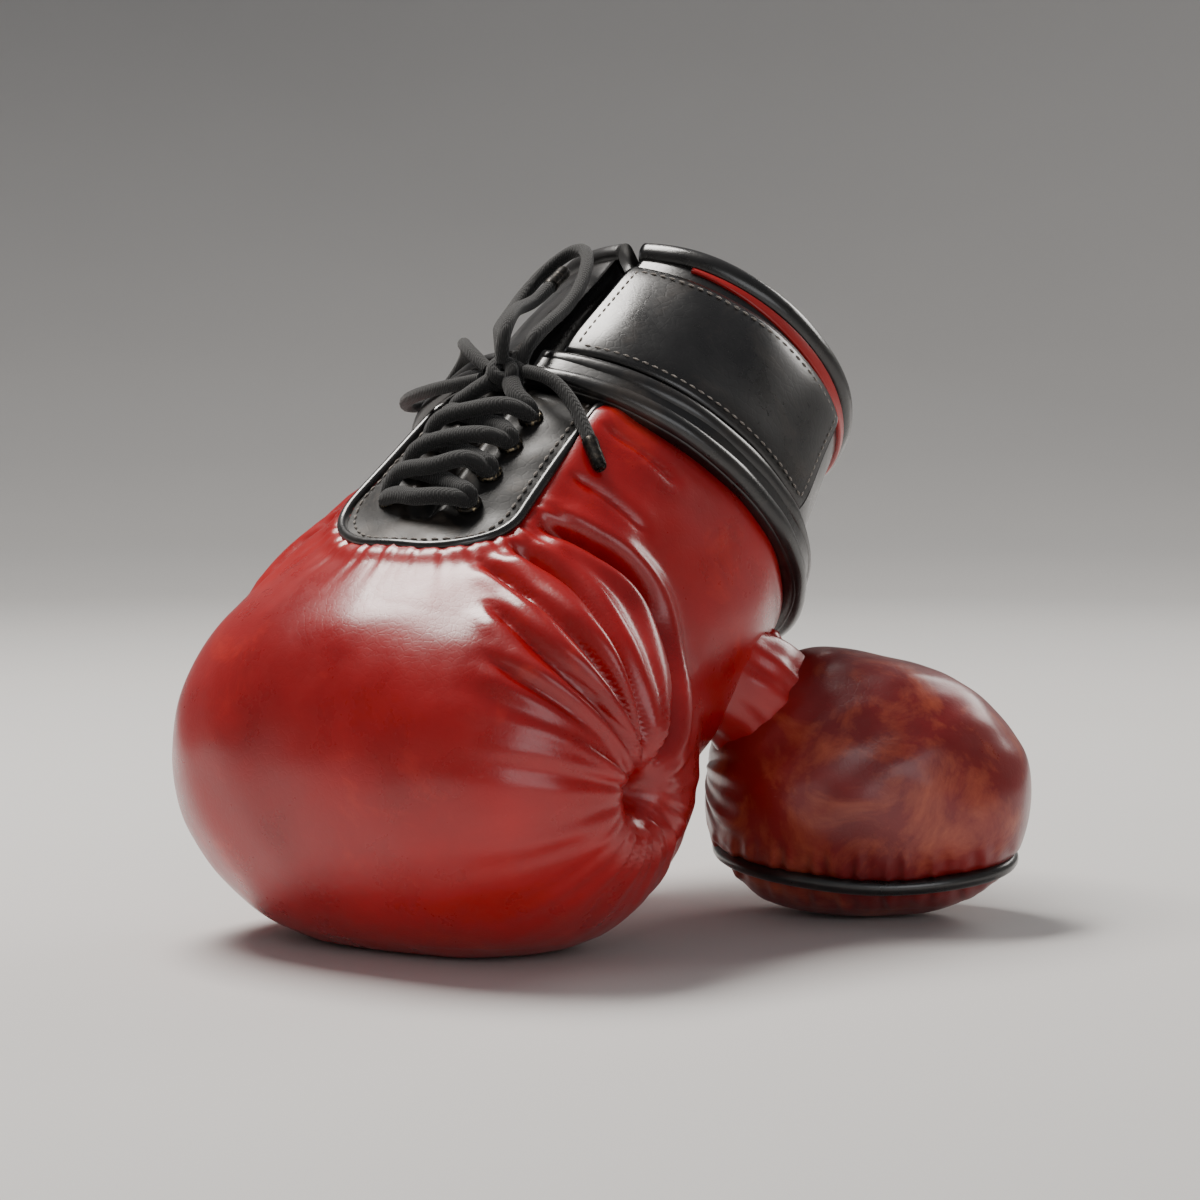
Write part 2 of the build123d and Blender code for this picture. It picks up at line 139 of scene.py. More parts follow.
def waves(points, size, amount, seed):
    """Gentle seeded unevenness: a sum of sine waves in random directions."""
    source = np.random.default_rng(seed)
    total = np.zeros(points.shape[:-1])
    for _ in range(WAVE_COUNT):
        direction = source.normal(size=3)
        direction /= np.linalg.norm(direction)
        length = size * source.uniform(0.6, 1.6)
        total += np.sin(points @ direction * (2 * math.pi / length) + source.uniform(0, 6.28))
    return total * amount / math.sqrt(WAVE_COUNT)


def spline(points, count):
    """Smooth curve through given points (Catmull-Rom)."""
    points = np.asarray(points, float)
    padded = np.vstack([2 * points[0] - points[1], points, 2 * points[-1] - points[-2]])
    where = np.linspace(0, len(points) - 1, count)
    k = np.minimum(where.astype(int), len(points) - 2)
    t = (where - k)[:, None]
    p0, p1, p2, p3 = padded[k], padded[k + 1], padded[k + 2], padded[k + 3]
    return 0.5 * (2 * p1 + (p2 - p0) * t + (2 * p0 - 5 * p1 + 4 * p2 - p3) * t ** 2
                  + (3 * p1 - p0 - 3 * p2 + p3) * t ** 3)


def lean(angle, s):
    """How far the cuff's rings slide along the hand, because they are sewn on at a slant."""
    band_s, band_to_rim, fade_start, fade_length = 115, 75, 60, 50
    share = np.clip((s - band_s) / band_to_rim, 0, 1)
    slant = (1 - np.cos(np.radians(angle))) * (9 - 4 * share) - (3 - share)
    return slant * np.clip((s - fade_start) / fade_length, 0, 1)


def swell(angle, s):
    """Extra padding: beside the lace panel, and over the root of the thumb."""
    angle = (np.asarray(angle) + 180) % 360 - 180
    beside_panel = 12 * hill(angle, -60, 32) * hill(s, 36, 27)
    over_thumb = 7 * hill(angle, 128, 45) * hill(s, 95, 48)
    return beside_panel + over_thumb


def lathe(name, section, arc=(0, 360), steps=180, shift=None):
    """Closed solid about the hand axis; section(angle) gives a loop of (radius, s) points."""
    whole = abs(arc[1] - arc[0]) >= 360
    angles = np.linspace(arc[0], arc[1], steps, endpoint=not whole)
    loops = np.array([section(a) for a in angles])
    points = cuff_around(angles[:, None], loops[..., 0], loops[..., 1])
    if shift is not None:
        points = shift(points)
    rows, columns = points.shape[:2]
    faces = grid_faces(rows, columns, wrap_rows=whole, wrap_columns=True)
    if not whole:
        faces += end_caps(rows, columns)
    return make_mesh(name, points.reshape(-1, 3), faces)


def pill_section(inner, outer, start, end, corner, count=7):
    """Rounded rectangle of (radius, s) points."""
    corner = min(corner, (outer - inner) / 2, (end - start) / 2)
    loop = []
    centres = [(outer - corner, end - corner, 0), (inner + corner, end - corner, 90),
               (inner + corner, start + corner, 180), (outer - corner, start + corner, 270)]
    for radius, s, first in centres:
        for turn in np.radians(np.linspace(first, first + 90, count)):
            loop.append((radius + corner * math.cos(turn), s + corner * math.sin(turn)))
    return loop


def cuff_radius(s):
    """Outer radius of the cuff leather."""
    return 62 - 6 * (s - BARREL_END) / (CUFF_END - BARREL_END)


def tube_mesh(name, centres, radius, sides=12, closed=False, flat=1.0, normal=None):
    """Tube that follows a line of points, optionally flattened along a normal direction."""
    centres = np.asarray(centres, float)
    tangents = np.gradient(centres, axis=0)
    if closed:
        tangents = np.roll(centres, -1, 0) - np.roll(centres, 1, 0)
    tangents /= np.linalg.norm(tangents, axis=1)[:, None]
    if normal is None:
        normal = PALM
    up = normal if np.ndim(normal) == 2 else np.tile(normal, (len(centres), 1))
    side = np.cross(tangents, up)
    side /= np.linalg.norm(side, axis=1)[:, None]
    up = np.cross(side, tangents)
    turn = full_turn(sides)
    radius = np.broadcast_to(radius, len(centres))
    circle = np.cos(turn)[None, :, None] * side[:, None] + flat * np.sin(turn)[None, :, None] * up[:, None]
    points = centres[:, None] + radius[:, None, None] * circle
    faces = grid_faces(len(centres), sides, wrap_rows=closed, wrap_columns=True)
    if not closed:
        faces += end_caps(len(centres), sides)
    return make_mesh(name, points.reshape(-1, 3), faces)


def distance_along(line):
    """Length from the line's start to each of its points."""
    return np.concatenate([[0], np.cumsum(np.linalg.norm(np.diff(line, axis=0), axis=1))])


def stitch_mesh(name, line, normals, length, gap, thickness):
    """Row of raised thread stitches along a line that lies on a surface."""
    travelled = distance_along(line)
    points, faces = [], []
    sides, rings, tip_angle, flatness = 6, 7, 0.12, 0.8
    for start in np.arange(gap, travelled[-1] - length, length + gap):
        at = start + np.linspace(0, length, rings)
        centre = np.stack([np.interp(at, travelled, line[:, k]) for k in range(3)], -1)
        up = np.stack([np.interp(at, travelled, normals[:, k]) for k in range(3)], -1)
        up /= np.linalg.norm(up, axis=1)[:, None]
        heading = centre[-1] - centre[0]
        side = np.cross(heading / np.linalg.norm(heading), up)
        bulge = np.sin(np.linspace(tip_angle, math.pi - tip_angle, rings))[:, None, None]
        turn = full_turn(sides)[None, :, None]
        circle = np.cos(turn) * side[:, None] + flatness * np.sin(turn) * up[:, None]
        loop = centre[:, None] + thickness * bulge * circle
        first = len(points)
        points.extend(loop.reshape(-1, 3).tolist())
        faces += grid_faces(rings, sides, wrap_columns=True, first=first)
        faces.append([first + k for k in range(sides)][::-1])
        faces.append([first + (rings - 1) * sides + k for k in range(sides)])
    return make_mesh(name, points, faces)


def weld(piece):
    """Merge coincident points and make the faces point outwards."""
    form = bmesh.new()
    form.from_mesh(piece.data)
    bmesh.ops.remove_doubles(form, verts=form.verts, dist=2e-6)
    bmesh.ops.dissolve_degenerate(form, edges=form.edges, dist=1e-6)
    bmesh.ops.recalc_face_normals(form, faces=form.faces)
    form.to_mesh(piece.data)
    form.free()
    piece.data.polygons.foreach_set("use_smooth", [True] * len(piece.data.polygons))
    return piece


def shell_mesh(name, outer, inner, wrap=True):
    """Closed skin between two grids of equal column count; the first rows may be poles."""
    rows, columns = outer.shape[:2]
    inner_rows = inner.shape[0]
    first = rows * columns
    faces = grid_faces(rows, columns, wrap_columns=wrap)
    faces += [f[::-1] for f in grid_faces(inner_rows, columns, wrap_columns=wrap, first=first)]
    edges = [((rows - 1) * columns, first + (inner_rows - 1) * columns, 1), (0, first, -1)]
    for a, b, way in edges:
        for k in range(columns if wrap else columns - 1):
            n = (k + 1) % columns
            faces.append([a + k, a + n, b + n, b + k][::way])
    if not wrap:
        share = np.round(np.linspace(0, inner_rows - 1, rows)).astype(int)
        for k in range(rows - 1):
            for c in (0, columns - 1):
                near, far = first + share[k] * columns + c, first + share[k + 1] * columns + c
                faces.append([k * columns + c, (k + 1) * columns + c, far, near])
    points = np.concatenate([outer.reshape(-1, 3), inner.reshape(-1, 3)])
    return weld(make_mesh(name, points, faces))


def join(name, parts):
    """One object from several."""
    bpy.ops.object.select_all(action="DESELECT")
    for part in parts:
        part.select_set(True)
    bpy.context.view_layer.objects.active = parts[0]
    bpy.ops.object.join()
    parts[0].name = name
    return parts[0]


# ---------------- materials
class Nodes:
    """Short calls for building a material's node tree."""

    def __init__(self, name):
        self.material = bpy.data.materials.new(name)
        self.material.use_nodes = True
        self.tree = self.material.node_tree
        self.shader = self.tree.nodes["Principled BSDF"]

    def add(self, kind, inputs=None, **settings):
        node = self.tree.nodes.new(kind)
        for key, value in settings.items():
            setattr(node, key, value)
        for key, value in (inputs or {}).items():
            if hasattr(value, "is_output"):
                self.tree.links.new(value, node.inputs[key])
            else:
                node.inputs[key].default_value = value
        return node

    def noise(self, where, scale, detail=4, roughness=0.55, distortion=0.0):
        inputs = {"Vector": where, "Scale": scale, "Detail": detail, "Roughness": roughness,
                  "Distortion": distortion}
        return self.add("ShaderNodeTexNoise", inputs).outputs["Fac"]

    def ramp(self, value, low, high, out_low=0.0, out_high=1.0):
        inputs = {"Value": value, "From Min": low, "From Max": high, "To Min": out_low, "To Max": out_high}
        return self.add("ShaderNodeMapRange", inputs).outputs["Result"]

    def mix(self, share, first, second):
        node = self.tree.nodes.new("ShaderNodeMix")
        node.data_type = "RGBA"  # its colour sockets are inputs 6 and 7 and output 2
        for socket, value in ((node.inputs[0], share), (node.inputs[6], first), (node.inputs[7], second)):
            if hasattr(value, "is_output"):
                self.tree.links.new(value, socket)
            else:
                socket.default_value = value
        return node.outputs[2]

    def math(self, operation, first, second=0.0):
        return self.add("ShaderNodeMath", {0: first, 1: second}, operation=operation).outputs[0]

    def link(self, value, socket):
        self.tree.links.new(value, self.shader.inputs[socket])

    def bump(self, height, strength, distance, below=None):
        inputs = {"Height": height, "Strength": strength, "Distance": distance}
        if below is not None:
            inputs["Normal"] = below
        return self.add("ShaderNodeBump", inputs).outputs["Normal"]


def leather(name, base, worn, dark, gloss, grain=900.0, wear=0.5, coat=0.4):
    """Grained, polished leather with worn patches, rubbed scuffs and pores."""
    nodes = Nodes(name)
    place = nodes.add("ShaderNodeTexCoord").outputs["Object"]
    broad = nodes.noise(place, 14, 5, 0.6)
    patches = nodes.noise(place, 38, 6, 0.65, 0.6)
    fine = nodes.noise(place, 260, 4, 0.6)
    stretched = nodes.add("ShaderNodeMapping", {"Vector": place, "Scale": (40, 420, 300),
                                                "Rotation": (0.5, 0.3, 0.8)})
    scuffs = nodes.noise(stretched.outputs[0], 1.0, 6, 0.7, 0.4)
    pores = nodes.add("ShaderNodeTexVoronoi", {"Vector": place, "Scale": grain},
                      feature="F1").outputs["Distance"]
    cells = nodes.add("ShaderNodeTexVoronoi", {"Vector": place, "Scale": grain * 0.45},
                      feature="DISTANCE_TO_EDGE").outputs["Distance"]
    colour = nodes.mix(nodes.ramp(broad, 0.35, 0.7), dark, base)
    colour = nodes.mix(nodes.ramp(patches, 0.62 - 0.12 * wear, 0.86 - 0.1 * wear), colour, worn)
    pale = tuple(min(1.0, 0.45 * c + 0.35) for c in worn[:3]) + (1,)
    rubbed = nodes.math("MULTIPLY", nodes.ramp(scuffs, 0.66, 0.8), nodes.ramp(broad, 0.45, 0.62))
    colour = nodes.mix(nodes.math("MULTIPLY", rubbed, 0.45 * wear), colour, pale)
    nodes.link(colour, "Base Color")
    rough = nodes.ramp(nodes.noise(place, 55, 5, 0.65), 0.3, 0.75, gloss, gloss + 0.2)
    rough = nodes.math("ADD", rough, nodes.math("MULTIPLY", rubbed, 0.18))
    nodes.link(rough, "Roughness")
    shader = nodes.shader.inputs
    shader["Specular IOR Level"].default_value = 0.5
    shader["Coat Weight"].default_value = coat
    shader["Coat Roughness"].default_value = 0.22
    normal = nodes.bump(nodes.ramp(cells, 0.0, 0.12), 0.16, 0.00010)
    normal = nodes.bump(pores, 0.12, 0.00008, normal)
    normal = nodes.bump(fine, 0.10, 0.0003, normal)
    normal = nodes.bump(patches, 0.12, 0.0010, normal)
    nodes.link(normal, "Normal")
    return nodes.material


def woven(name, base, second, scale, fuzz=0.4):
    """Woven or braided cotton: two crossing thread waves with soft fibres."""
    nodes = Nodes(name)
    place = nodes.add("ShaderNodeTexCoord").outputs["Object"]
    heights = []
    for turn in ((0.4, 0.2, 0.785), (0.4, 0.2, -0.785)):
        turned = nodes.add("ShaderNodeMapping", {"Vector": place, "Rotation": turn})
        heights.append(nodes.add("ShaderNodeTexWave", {"Vector": turned.outputs[0], "Scale": scale,
                                                       "Distortion": 0.6, "Detail": 1.0}).outputs["Fac"])
    weave = nodes.math("MULTIPLY", heights[0], heights[1])
    fibre = nodes.noise(place, 2200, 3, 0.7)
    shade = nodes.math("MULTIPLY", nodes.ramp(weave, 0.05, 0.7), nodes.ramp(fibre, 0.2, 0.8, 0.6, 1.0))
    nodes.link(nodes.mix(shade, second, base), "Base Color")
    nodes.shader.inputs["Roughness"].default_value = 0.78
    nodes.shader.inputs["Sheen Weight"].default_value = fuzz
    nodes.shader.inputs["Sheen Roughness"].default_value = 0.45
    normal = nodes.bump(weave, 0.6, 0.0004)
    nodes.link(nodes.bump(fibre, 0.3, 0.0002, normal), "Normal")
    return nodes.material


def metal(name, base, bare, rough):
    """Worn, lacquered metal."""
    nodes = Nodes(name)
    place = nodes.add("ShaderNodeTexCoord").outputs["Object"]
    worn = nodes.ramp(nodes.noise(place, 700, 5, 0.6), 0.5, 0.62)
    nodes.link(nodes.mix(worn, base, bare), "Base Color")
    nodes.link(nodes.ramp(worn, 0.0, 1.0, rough + 0.12, rough), "Roughness")
    nodes.shader.inputs["Metallic"].default_value = 0.85
    nodes.link(nodes.bump(worn, 0.2, 0.0001), "Normal")
    return nodes.material


RED = leather("red_leather", base=(0.46, 0.0025, 0.004, 1), worn=(0.55, 0.022, 0.010, 1),
              dark=(0.26, 0.001, 0.003, 1), gloss=0.22, wear=0.4)
RED_WORN = leather("red_leather_worn", base=(0.30, 0.008, 0.006, 1), worn=(0.48, 0.10, 0.04, 1),
                   dark=(0.15, 0.004, 0.005, 1), gloss=0.27, wear=1.0)
BLACK = leather("black_leather", base=(0.008, 0.007, 0.007, 1), worn=(0.035, 0.026, 0.020, 1),
                dark=(0.005, 0.0045, 0.0045, 1), gloss=0.22, grain=700.0, wear=0.6, coat=0.6)
PANEL = leather("lace_panel_leather", base=(0.012, 0.010, 0.009, 1), worn=(0.09, 0.068, 0.050, 1),
                dark=(0.005, 0.0045, 0.004, 1), gloss=0.40, grain=700.0, wear=1.1, coat=0.08)
TRIM = leather("red_trim_leather", base=(0.50, 0.008, 0.006, 1), worn=(0.60, 0.04, 0.02, 1),
               dark=(0.30, 0.004, 0.004, 1), gloss=0.28, wear=0.3)
LACE = woven("black_lace", (0.010, 0.0095, 0.009, 1), (0.003, 0.003, 0.003, 1), 520, 0.15)
LINING = woven("black_lining", (0.045, 0.042, 0.040, 1), (0.016, 0.015, 0.015, 1), 380)
THREAD = woven("pale_thread", (0.42, 0.38, 0.33, 1), (0.18, 0.15, 0.13, 1), 900)
METAL = metal("black_lacquered_metal", (0.02, 0.018, 0.016, 1), (0.30, 0.24, 0.15, 1), 0.28)
AGLET = metal("dark_aglet", (0.012, 0.011, 0.010, 1), (0.06, 0.05, 0.04, 1), 0.34)
FOAM = woven("latex_foam", (0.55, 0.50, 0.42, 1), (0.32, 0.29, 0.24, 1), 600)


def finish_piece(piece, material, body="glove", nodes=()):
    """Give a piece its material and body, and hide the nodes that it replaces."""
    piece.data.materials.clear()
    piece.data.materials.append(material)
    if body:
        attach(piece, body)
    if nodes:
        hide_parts(*nodes)
    return piece


# ---------------- camera and free cords first
VIEW_ANGLE = math.radians(37)
CAMERA_HEIGHT, AIM_RIGHT, AIM_HEIGHT = 0.179, 0.052, 0.108
view_heading = Vector((-math.sin(VIEW_ANGLE), math.cos(VIEW_ANGLE), 0))
view_right = Vector((math.cos(VIEW_ANGLE), math.sin(VIEW_ANGLE), 0))
camera_data = bpy.data.cameras.new("camera")
camera_data.sensor_width = 36
camera_data.lens = 96
camera = bpy.data.objects.new("camera", camera_data)
bpy.context.collection.objects.link(camera)
camera.location = -view_heading + Vector((0, 0, CAMERA_HEIGHT))
aim = view_right * AIM_RIGHT + Vector((0, 0, AIM_HEIGHT))
camera.rotation_euler = (aim - camera.location).to_track_quat("-Z", "Y").to_euler()
bpy.context.scene.camera = camera

CORD_RADIUS = 2.25
# Routes of the free lace, as (angle, radius, s) points in the order in which the lace runs.
ROUTES = {
    "lace_loop_large": [
        (2.8, 70.3, 108.4), (4, 74.8, 115), (3.5, 72, 127), (2, 68, 140), (0, 66, 154), (-4, 65.5, 168),
        (-10, 65, 179), (-19, 64.5, 183), (-27, 65, 176), (-29, 65.5, 163), (-26, 66, 150), (-20, 68, 137),
        (-12, 72, 126), (-6, 74.8, 117), (-3.2, 70.3, 108.4)],
    "lace_loop_small": [
        (-6.2, 70.5, 105.3), (-13, 74.4, 111), (-20, 74.8, 119), (-29, 71, 129), (-38, 68, 137),
        (-47, 67, 140), (-55, 68, 134), (-57, 72, 125), (-52, 75, 116), (-42, 74.5, 108), (-29, 72.5, 102),
        (-17, 71.5, 99), (-6.2, 70.5, 100.3)],
    "lace_end_up": [
        (0, 73.6, 104), (0, 79, 108), (-1, 81, 117), (-5, 77.5, 128), (-9, 72, 138), (-12, 67.5, 148),
        (-13, 66, 158)],
    "lace_end_side": [(6.2, 70.5, 104.5), (13, 71.8, 103), (20, 70.6, 99), (27, 69.4, 92.5), (33, 69, 85)],
}


def lace_curve(name, points, radius):
    """Round lace on one smooth NURBS line."""
    curve = bpy.data.curves.new(name, "CURVE")
    curve.dimensions = "3D"
    curve.bevel_depth = radius * MM
    curve.bevel_resolution = 4
    curve.resolution_u = 10
    curve.use_fill_caps = True
    line = curve.splines.new("NURBS")
    line.points.add(len(points) - 1)
    for point, place in zip(line.points, points):
        point.co = (*(place * MM), 1)
    line.use_endpoint_u = True
    line.order_u = 3
    piece = bpy.data.objects.new(name, curve)
    bpy.context.collection.objects.link(piece)
    return piece


def aglet_tip(name, points):
    """Tapered cap on the lace's last point, in line with its last run."""
    heading = points[-1] - points[-2]
    heading = heading / np.linalg.norm(heading)
    steps = np.array([-0.5, 0, 1.5, 3, 5, 7, 9, 10.5, 11.5, 12])
    radii = np.array([2.3, 2.55, 2.6, 2.45, 2.4, 2.4, 2.4, 2.3, 1.9, 1.1])
    centres = points[-1] + heading * steps[:, None]
    tip = tube_mesh(name, centres, radii, sides=24)
    return finish_piece(tip, AGLET, nodes=["aglets"])


for name, route in ROUTES.items():
    points = around(*np.array(route).T)
    cord = lace_curve(name + "_cord", points, CORD_RADIUS)
    finish_piece(cord, LACE, nodes=[name])
    loop = "loop" in name
    tip = [] if loop else [aglet_tip(name + "_aglet", points)]


# ---------------- red body: fist roll and barrel
FIST_HALF, FIST_RADIUS, FIST_POWER = 84.0, 63.5, 2.6
BARREL_RADIUS = 64.5
BARREL_FULL = 38.0  # from this place along the hand on, the barrel has its full radius
TUCK_START, TUCK_LENGTH, TUCK_DEPTH = 101.0, 13.0, 8.0
JOIN_SOFTNESS = 15.0
CAP_SHARE = 0.42  # share of the body's rows that fan round the knuckles
PUCKER = np.array([83.0, -6.0, 55.0])
PANEL_HALF, PANEL_START, PANEL_END, PANEL_CORNER = 31.0, 25.0, 109.0, 24.0
PANEL_DEPTH = 1.6
PANEL_TOP = 0.6 - PANEL_DEPTH  # height of the panel's face over the smooth body


def roll_field(points):
    """Roughly signed distance to the fist roll: below zero is inside."""
    local = points - FIST
    rho = np.sqrt(local[..., 1] ** 2 + local[..., 2] ** 2)
    size = (np.abs(local[..., 0]) / FIST_HALF) ** FIST_POWER + (rho / FIST_RADIUS) ** FIST_POWER
    return (size ** (1 / FIST_POWER) - 1) * FIST_RADIUS


def barrel_field(points):
    """Roughly signed distance to the padded barrel, which tucks in under the cuff's band."""
    x, n, s = hand_coordinates(points)
    angle = np.degrees(np.arctan2(x, n))
    radius = BARREL_RADIUS - 6 * np.clip((BARREL_FULL - s) / BARREL_FULL, 0, 1) ** 1.5
    belly = np.sin(np.clip((s - BARREL_FULL) / (BARREL_END - BARREL_FULL), 0, 1) * math.pi)
    radius = radius + 2.2 * belly + swell(angle, s)
    tuck = np.clip((s - TUCK_START - lean(angle, BAND_START)) / TUCK_LENGTH, 0, 1)
    radius = radius - TUCK_DEPTH * tuck * tuck
    below = np.minimum(s, 0) * 1.15
    return np.sqrt(x ** 2 + n ** 2 + below ** 2) - radius


def body_field(points):
    """Fist and barrel joined with a narrow soft valley between them."""
    a, b = roll_field(points), barrel_field(points)
    blend = np.clip(0.5 + 0.5 * (b - a) / JOIN_SOFTNESS, 0, 1)
    return b * (1 - blend) + a * blend - JOIN_SOFTNESS * blend * (1 - blend)


def body_rays(rows, columns, last):
    """Origins and directions that fan round the knuckles and then march up the hand axis."""
    cap = int(rows * CAP_SHARE)
    tilt = np.linspace(0.0, math.pi / 2, cap, endpoint=False)
    angle = full_turn(columns)
    outward = outwards(angle)
    ends = last + lean(np.degrees(angle), last)
    starts = np.concatenate([np.zeros((cap, columns)), np.linspace(0, 1, rows - cap)[:, None] * ends])
    lift = np.concatenate([tilt, np.full(rows - cap, math.pi / 2)])
    origins = FIST + ALONG * starts[..., None]
    directions = -ALONG * np.cos(lift)[:, None, None] + outward[None] * np.sin(lift)[:, None, None]
    return origins, directions


def outer_points(origins, directions, field, farthest=130.0, steps=26):
    """Where each ray leaves the solid, by bisection."""
    low = np.zeros(origins.shape[:-1])
    high = np.full(origins.shape[:-1], farthest)
    for _ in range(steps):
        middle = (low + high) / 2
        inside = field(origins + directions * middle[..., None]) < 0
        low = np.where(inside, middle, low)
        high = np.where(inside, high, middle)
    return origins + directions * low[..., None]


def grid_normals(points):
    """Outward normals of a grid whose columns wrap round."""
    along = np.gradient(points, axis=0)
    around_it = np.roll(points, -1, 1) - np.roll(points, 1, 1)
    normals = np.cross(around_it, along)
    length = np.linalg.norm(normals, axis=-1, keepdims=True)
    normals = normals / np.maximum(length, 1e-9)
    normals[0] = -ALONG
    return normals


def near_line(points, normals, line, proudest=14):
    """Distance over the surface to a curve, and how far along the curve the nearest place is."""
    best = np.full(points.shape[:-1], 1e9)
    where = np.zeros(points.shape[:-1])
    for k, place in enumerate(line):
        apart = points - place
        proud = (apart * normals).sum(-1)
        distance = (apart ** 2).sum(-1) - proud ** 2 + 1e3 * (np.abs(proud) > proudest)
        closer = distance < best
        best = np.where(closer, distance, best)
        where = np.where(closer, k / (len(line) - 1), where)
    return np.sqrt(np.maximum(best, 0)), where


# Creases, as row-frame points, depth and half-width. The first run from the lace panel to the pucker.
CREASES = [
    ([(35, 5, 133), (42, 12, 129), (52, 19, 120), (63, 24, 107), (73, 20, 93), (81, 12, 78), (84, 0, 62)],
     6.5, 2.3),
    ([(32, -5, 126), (42, -4, 121), (55, -3, 114), (70, -6, 101), (79, -7, 86), (84, -5, 66)], 5.5, 2.1),
    ([(28, -15, 120), (38, -17, 117), (52, -19, 111), (68, -19, 100), (79, -15, 85), (84, -8, 66)], 4.0, 1.8),
    ([(40, -28, 110), (54, -31, 103), (67, -30, 93), (77, -23, 81), (83, -12, 65)], 3.0, 1.7),
    ([(48, -41, 97), (60, -40, 91), (71, -33, 82), (80, -23, 71), (84, -13, 61)], 2.4, 1.6),
    ([(50, 14, 128), (60, 22, 118), (70, 27, 104), (79, 22, 88), (84, 8, 70)], 2.2, 2.0),
    ([(-34, 4, 131), (-46, -4, 122), (-56, -15, 108)], 1.8, 1.8),
    ([(-33, 12, 136), (-46, 7, 130), (-58, 0, 119), (-66, -9, 105)], 2.2, 1.8),
    ([(-32, 22, 143), (-44, 19, 138), (-56, 14, 128)], 1.3, 1.6),
    ([(34, 24, 146), (46, 28, 140), (56, 33, 130)], 1.2, 1.6),
    ([(33, 42, 160), (45, 46, 155), (56, 52, 145)], 1.0, 1.5),
]


def crease_height(points, normals):
    """Creases, each with a raised edge on both sides."""
    height = np.zeros(points.shape[:-1])
    for line, depth, width in CREASES:
        distance, share = near_line(points, normals, spline(line, 60))
        fade = np.clip(share * 6, 0, 1) * np.clip((1 - share) * 9 + 0.35, 0, 1)
        height -= depth * fade * np.exp(-(distance / width) ** 1.5)
        height += 0.30 * depth * fade * hill(distance, 3.0 * width, 2.0 * width)
    return height


def pucker_height(points):
    """The gathered hole at the end of the fist roll, with its fan of folds and the lobes below it."""
    local = points - PUCKER
    spoke = np.arctan2(local[..., 2], local[..., 1])
    away = np.linalg.norm(local, axis=-1)
    side = np.clip((points[..., 0] - 22) / 35, 0, 1) ** 1.5
    fan = np.sin(19 * spoke + 1.6 * np.sin(3 * spoke + 1)) + 0.6 * np.sin(31 * spoke + 2 + np.sin(5 * spoke))
    favoured = 0.35 + 0.65 * hill(spoke, 2.3, 0.9)
    folds = fan * 1.25 * favoured * hill(away, 0, 46) * np.clip(away / 10, 0, 1)
    below = np.clip(-local[..., 2] / 12, 0, 1)
    lobe_fan = np.sin(34 * spoke) + 0.5 * np.sin(21 * spoke + 1)
    lobes = below * (2.4 * hill(away, 20, 9) + 0.8 * lobe_fan * hill(away, 14, 11))
    hole = 15.0 * hill(away, 0, 6.8)
    return side * (folds + lobes - hole)


def panel_surround(points):
    """The seat that the lace panel is sunk into, its raised lip and the pull lines below it."""
    x, n, s = hand_coordinates(points)
    outside = np.stack([np.abs(x) - PANEL_HALF + PANEL_CORNER, PANEL_START + PANEL_CORNER - s], -1)
    past_corner = np.linalg.norm(np.maximum(outside, 0), axis=-1)
    edge = past_corner + np.minimum(outside.max(-1), 0) - PANEL_CORNER
    palm_side = n > 0
    seat = np.clip(-edge / 2.5, 0, 1) * palm_side * (PANEL_DEPTH + 3.5 + 6 * hill(x, 0, 7))
    lip = 1.2 * hill(edge, 4, 3.5) * palm_side
    spoke = np.arctan2(s - 58, x)
    from_slit = np.hypot(np.maximum(np.abs(x) - 10, 0), np.maximum(55 - s, 0))
    front = np.clip((n - 25) / 25, 0, 1) * np.clip((62 - s) / 12, 0, 1)
    pull_lines = np.sin(37 * spoke + 2 * np.sin(3 * spoke)) + 0.7 * np.sin(61 * spoke + 1)
    return lip - seat + 0.30 * front * pull_lines * hill(from_slit, 25, 15)


def body_relief(points, normals):
    """Height of creases, pleats, puckers and soft dents over the smooth body."""
    dents = waves(points, 70, 0.7, 3) + waves(points, 26, 0.16, 4)
    return dents + crease_height(points, normals) + pucker_height(points) + panel_surround(points)


ROWS, COLUMNS = 226, 330
CAP_ROW_COUNT = int(ROWS * CAP_SHARE)
BODY_END = 112.0
origins, directions = body_rays(ROWS, COLUMNS, BODY_END)
smooth_points = outer_points(origins, directions, body_field)
normals = grid_normals(smooth_points)
body_points = smooth_points + normals * body_relief(smooth_points, normals)[..., None]


def settle(points, height, lowest, softness):
    """Flatten what presses on the floor, with a soft edge."""
    z = points[..., 2]
    flat = lowest + 0.5 * (z - lowest + np.sqrt((z - lowest) ** 2 + softness ** 2))
    points[..., 2] = np.where(z < height, flat, z)
    return points


body_points = settle(body_points, height=6.0, lowest=0.35, softness=2.0)
FLOOR_GAP = 0.05
body_points[..., 2] -= max(0.0, body_points[..., 2].min() - FLOOR_GAP)
reach = np.linalg.norm(body_points - origins, axis=-1)
tight = reach.copy()
for shift in range(1, 6):
    for axis in (0, 1):
        tight = np.minimum(tight, np.minimum(np.roll(tight, shift, axis), np.roll(tight, -shift, axis)))
END_ROWS = 6  # rows at either end that rolling has wrapped round
tight[-END_ROWS:] = reach[-END_ROWS:].min()
tight[:END_ROWS] = reach[:END_ROWS].min()
COARSE = 5  # the inner grids take every fifth row
inner_rows = np.arange(0, ROWS, COARSE)


def inset(depth, rows=inner_rows, columns=None):
    """Grid inside the leather by a depth, kept clear of every crease."""
    chosen = np.ix_(rows, np.arange(COLUMNS) if columns is None else columns)
    return origins[chosen] + directions[chosen] * (tight[chosen] - depth)[..., None]


red_body = shell_mesh("red_leather_body", body_points, inset(1.6))
finish_piece(red_body, RED, nodes=["back_leather", "palm_leather"])

